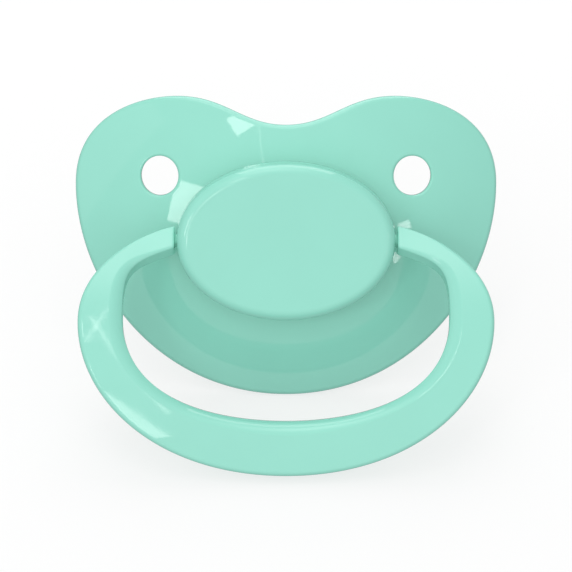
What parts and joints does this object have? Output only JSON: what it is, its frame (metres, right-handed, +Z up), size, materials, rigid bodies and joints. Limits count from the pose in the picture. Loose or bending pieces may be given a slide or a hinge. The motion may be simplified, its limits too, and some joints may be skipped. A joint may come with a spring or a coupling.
{
  "type": "pacifier",
  "caption": "Large pacifier: curved bean-shaped shield with round vents, flat oval button, bowed ring handle that swings on the button, and a hollow silicone teat.",
  "frame": {"origin": "on the floor under the centre of the bounding box, with the pacifier lying on its teat tip, the shield's lower edge and the ring", "axes": "+X along the ring's pivot axis, to the right seen from the button; +Y from the button side to the teat side; +Z up"},
  "size_m": [0.068, 0.0688, 0.0417],
  "materials": {
    "mint_plastic": "glossy moulded polypropylene, pale mint green",
    "inner_plastic": "satin white polypropylene, hidden",
    "silicone": "clear silicone rubber, slightly milky"
  },
  "bodies": {
    "pacifier_body": {"shield": "mint_plastic", "button_base": "inner_plastic", "button_cap": "mint_plastic", "teat": "silicone", "teat_plug": "inner_plastic"},
    "ring": {"ring_handle": "mint_plastic"}
  },
  "joints": [
    {"name": "ring_swing", "type": "hinge", "parent": "pacifier_body", "child": "ring", "pos_m": [0, -0.00689, 0.02644], "axis": [1, 0, 0], "range_deg": [-175, 48]}
  ]
}
